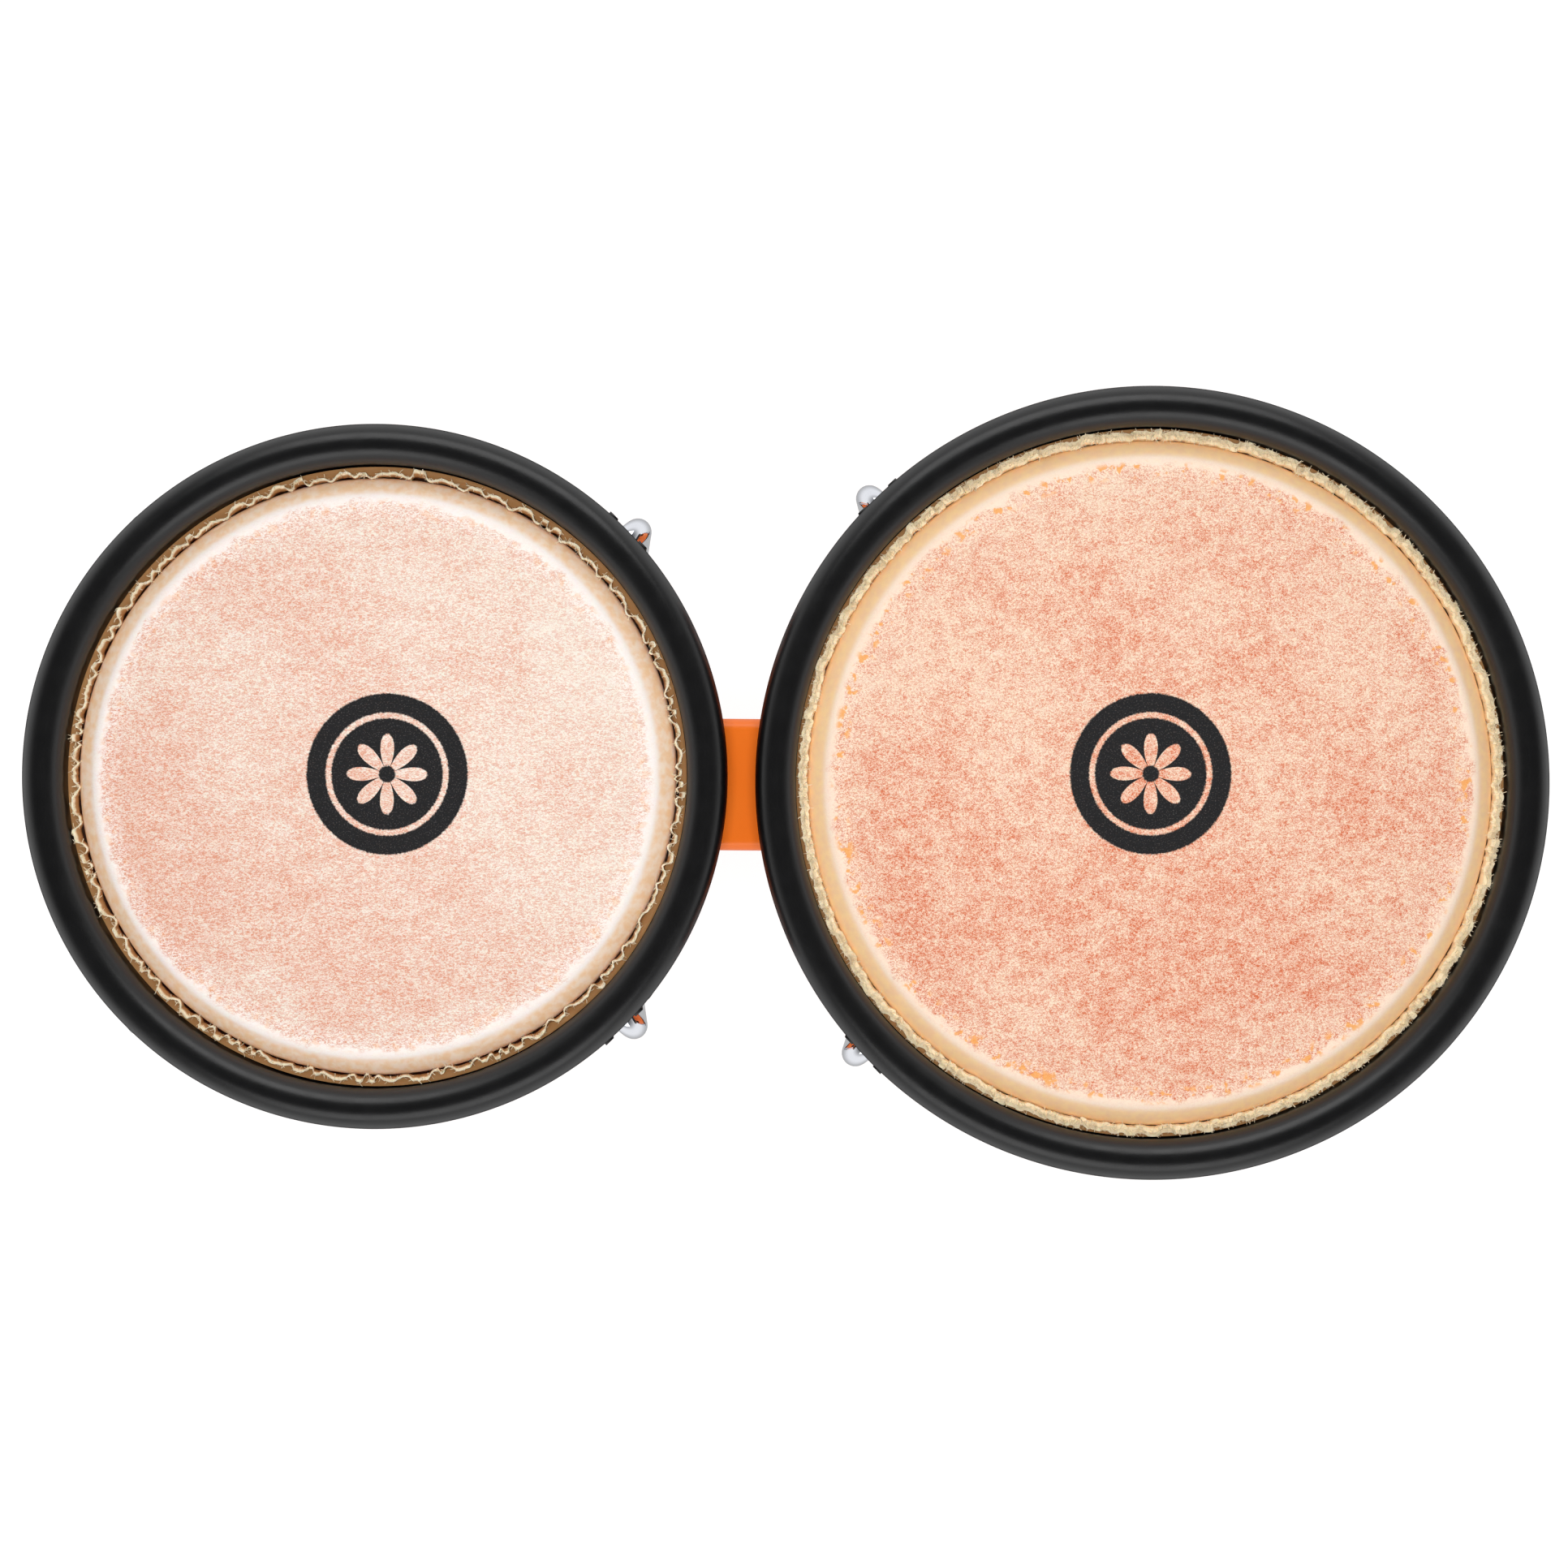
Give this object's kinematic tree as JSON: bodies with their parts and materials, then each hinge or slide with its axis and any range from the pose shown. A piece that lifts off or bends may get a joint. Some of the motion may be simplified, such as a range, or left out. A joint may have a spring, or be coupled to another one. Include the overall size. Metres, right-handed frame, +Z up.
{
  "type": "bongo drums",
  "caption": "Pair of hand drums joined by a block, with skin heads pulled down by hooked tension rods and tuning nuts.",
  "frame": {"origin": "centre of the outline at floor level, under the middle of the pair", "axes": "+X from the small drum to the large drum, +Y across the pair, +Z up out of the playing surfaces"},
  "size_m": [0.4368, 0.2272, 0.168],
  "materials": {
    "center_block": "fine satin moulded",
    "block_inserts": "machined",
    "shell": "moulded with a soft gloss",
    "foot_ring": "matt",
    "small_head": "raw hide, fine nap",
    "large_head": "raw hide, fine nap",
    "flesh_hoop": "plain wire",
    "rim": "satin powder coat",
    "rim_lugs": "satin powder coat",
    "bottom_ring": "satin powder coat",
    "bottom_lugs": "satin powder coat",
    "washers": "zinc plated",
    "saddle_plate": "die cast",
    "block_bolts": "dark plated",
    "tension_rod": "polished chrome",
    "tuning_nut": "polished chrome"
  },
  "bodies": {
    "base": {"center_block": "center_block", "block_inserts": "block_inserts", "small_shell": "shell", "small_foot_ring": "foot_ring", "small_head": "small_head", "small_bottom_ring": "bottom_ring", "small_bottom_lugs": "bottom_lugs", "small_washers": "washers", "small_saddle_plate": "saddle_plate", "small_block_bolts": "block_bolts", "large_shell": "shell", "large_foot_ring": "foot_ring", "large_head": "large_head", "large_bottom_ring": "bottom_ring", "large_bottom_lugs": "bottom_lugs", "large_washers": "washers", "large_saddle_plate": "saddle_plate", "large_block_bolts": "block_bolts"},
    "small_rim_body": {"small_rim": "rim", "small_rim_lugs": "rim_lugs", "small_flesh_hoop": "flesh_hoop"},
    "small_rod_1_body": {"small_tension_rod_1": "tension_rod"},
    "small_nut_1_body": {"small_tuning_nut_1": "tuning_nut"},
    "small_rod_2_body": {"small_tension_rod_2": "tension_rod"},
    "small_nut_2_body": {"small_tuning_nut_2": "tuning_nut"},
    "small_rod_3_body": {"small_tension_rod_3": "tension_rod"},
    "small_nut_3_body": {"small_tuning_nut_3": "tuning_nut"},
    "small_rod_4_body": {"small_tension_rod_4": "tension_rod"},
    "small_nut_4_body": {"small_tuning_nut_4": "tuning_nut"},
    "large_rim_body": {"large_rim": "rim", "large_rim_lugs": "rim_lugs", "large_flesh_hoop": "flesh_hoop"},
    "large_rod_1_body": {"large_tension_rod_1": "tension_rod"},
    "large_nut_1_body": {"large_tuning_nut_1": "tuning_nut"},
    "large_rod_2_body": {"large_tension_rod_2": "tension_rod"},
    "large_nut_2_body": {"large_tuning_nut_2": "tuning_nut"},
    "large_rod_3_body": {"large_tension_rod_3": "tension_rod"},
    "large_nut_3_body": {"large_tuning_nut_3": "tuning_nut"},
    "large_rod_4_body": {"large_tension_rod_4": "tension_rod"},
    "large_nut_4_body": {"large_tuning_nut_4": "tuning_nut"}
  },
  "joints": [
    {"name": "small_rim_slide", "type": "slide", "parent": "base", "child": "small_rim_body", "axis": [0, 0, -1], "range_m": [-0.002, 0.005], "deforming": ["small_head"]},
    {"name": "small_rod_1_slide", "type": "slide", "parent": "base", "child": "small_rod_1_body", "axis": [-0.0678, -0.0678, -0.9954], "range_m": [-0.002, 0.00499]},
    {"name": "small_nut_1_turn", "type": "hinge", "parent": "base", "child": "small_nut_1_body", "pos_m": [-0.05175, 0.0658, 0.022], "axis": [0.0678, 0.0678, 0.9954], "range_deg": [-575.35, 1435.37]},
    {"name": "small_rod_2_slide", "type": "slide", "parent": "base", "child": "small_rod_2_body", "axis": [0.0678, -0.0678, -0.9954], "range_m": [-0.002, 0.00499]},
    {"name": "small_nut_2_turn", "type": "hinge", "parent": "base", "child": "small_nut_2_body", "pos_m": [-0.18335, 0.0658, 0.022], "axis": [-0.0678, 0.0678, 0.9954], "range_deg": [-575.35, 1435.37]},
    {"name": "small_rod_3_slide", "type": "slide", "parent": "base", "child": "small_rod_3_body", "axis": [0.0678, 0.0678, -0.9954], "range_m": [-0.002, 0.00499]},
    {"name": "small_nut_3_turn", "type": "hinge", "parent": "base", "child": "small_nut_3_body", "pos_m": [-0.18335, -0.0658, 0.022], "axis": [-0.0678, -0.0678, 0.9954], "range_deg": [-575.35, 1435.37]},
    {"name": "small_rod_4_slide", "type": "slide", "parent": "base", "child": "small_rod_4_body", "axis": [-0.0678, 0.0678, -0.9954], "range_m": [-0.002, 0.00499]},
    {"name": "small_nut_4_turn", "type": "hinge", "parent": "base", "child": "small_nut_4_body", "pos_m": [-0.05175, -0.0658, 0.022], "axis": [0.0678, -0.0678, 0.9954], "range_deg": [-575.35, 1435.37]},
    {"name": "large_rim_slide", "type": "slide", "parent": "base", "child": "large_rim_body", "axis": [0, 0, -1], "range_m": [-0.002, 0.005], "deforming": ["large_head"]},
    {"name": "large_rod_1_slide", "type": "slide", "parent": "base", "child": "large_rod_1_body", "axis": [-0.0689, -0.0666, -0.9954], "range_m": [-0.002, 0.00499]},
    {"name": "large_nut_1_turn", "type": "hinge", "parent": "base", "child": "large_nut_1_body", "pos_m": [0.18092, 0.07346, 0.022], "axis": [0.0689, 0.0666, 0.9954], "range_deg": [-575.35, 1435.37]},
    {"name": "large_rod_2_slide", "type": "slide", "parent": "base", "child": "large_rod_2_body", "axis": [0.0666, -0.0689, -0.9954], "range_m": [-0.002, 0.00499]},
    {"name": "large_nut_2_turn", "type": "hinge", "parent": "base", "child": "large_nut_2_body", "pos_m": [0.03139, 0.07607, 0.022], "axis": [-0.0666, 0.0689, 0.9954], "range_deg": [-575.35, 1435.37]},
    {"name": "large_rod_3_slide", "type": "slide", "parent": "base", "child": "large_rod_3_body", "axis": [0.0689, 0.0666, -0.9954], "range_m": [-0.002, 0.00499]},
    {"name": "large_nut_3_turn", "type": "hinge", "parent": "base", "child": "large_nut_3_body", "pos_m": [0.02878, -0.07346, 0.022], "axis": [-0.0689, -0.0666, 0.9954], "range_deg": [-575.35, 1435.37]},
    {"name": "large_rod_4_slide", "type": "slide", "parent": "base", "child": "large_rod_4_body", "axis": [-0.0666, 0.0689, -0.9954], "range_m": [-0.002, 0.00499]},
    {"name": "large_nut_4_turn", "type": "hinge", "parent": "base", "child": "large_nut_4_body", "pos_m": [0.17831, -0.07607, 0.022], "axis": [0.0666, -0.0689, 0.9954], "range_deg": [-575.35, 1435.37]}
  ],
  "couplings": [
    {"joint": "small_rod_1_slide", "follows": "small_rim_slide", "ratio": 0.9954},
    {"joint": "small_nut_1_turn", "follows": "small_rim_slide", "rad_per_m": 5003.4},
    {"joint": "small_rod_2_slide", "follows": "small_rim_slide", "ratio": 0.9954},
    {"joint": "small_nut_2_turn", "follows": "small_rim_slide", "rad_per_m": 5003.4},
    {"joint": "small_rod_3_slide", "follows": "small_rim_slide", "ratio": 0.9954},
    {"joint": "small_nut_3_turn", "follows": "small_rim_slide", "rad_per_m": 5003.4},
    {"joint": "small_rod_4_slide", "follows": "small_rim_slide", "ratio": 0.9954},
    {"joint": "small_nut_4_turn", "follows": "small_rim_slide", "rad_per_m": 5003.4},
    {"joint": "large_rod_1_slide", "follows": "large_rim_slide", "ratio": 0.9954},
    {"joint": "large_nut_1_turn", "follows": "large_rim_slide", "rad_per_m": 5003.4},
    {"joint": "large_rod_2_slide", "follows": "large_rim_slide", "ratio": 0.9954},
    {"joint": "large_nut_2_turn", "follows": "large_rim_slide", "rad_per_m": 5003.4},
    {"joint": "large_rod_3_slide", "follows": "large_rim_slide", "ratio": 0.9954},
    {"joint": "large_nut_3_turn", "follows": "large_rim_slide", "rad_per_m": 5003.4},
    {"joint": "large_rod_4_slide", "follows": "large_rim_slide", "ratio": 0.9954},
    {"joint": "large_nut_4_turn", "follows": "large_rim_slide", "rad_per_m": 5003.4}
  ]
}
